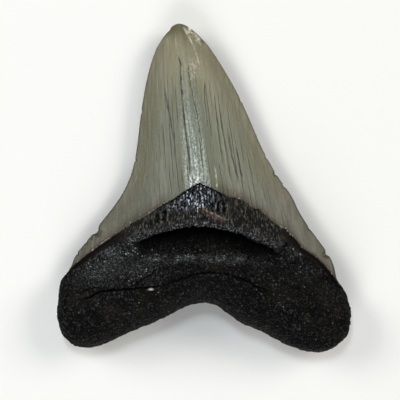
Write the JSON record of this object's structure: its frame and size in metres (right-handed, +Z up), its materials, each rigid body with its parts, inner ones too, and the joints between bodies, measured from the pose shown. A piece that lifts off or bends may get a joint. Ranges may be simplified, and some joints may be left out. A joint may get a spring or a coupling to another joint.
{
  "type": "megalodon tooth",
  "caption": "Fossil megalodon tooth lying on its flatter labial face: triangular grey-olive crown with fine serrations, dark bourlette and black two-lobed root.",
  "frame": {"origin": "middle of the tooth's box, on the surface that the tooth lies on", "axes": "+X across the tooth, +Y from the root to the tip of the crown, +Z up, away from the labial face and out of the lingual face"},
  "size_m": [0.1052, 0.1181, 0.0254],
  "materials": {
    "fossil_tooth": "polished grey-olive enameloid crown, glossy black bourlette, matt black mineralised root"
  },
  "bodies": {
    "root": {"tooth": "fossil_tooth"}
  },
  "joints": []
}
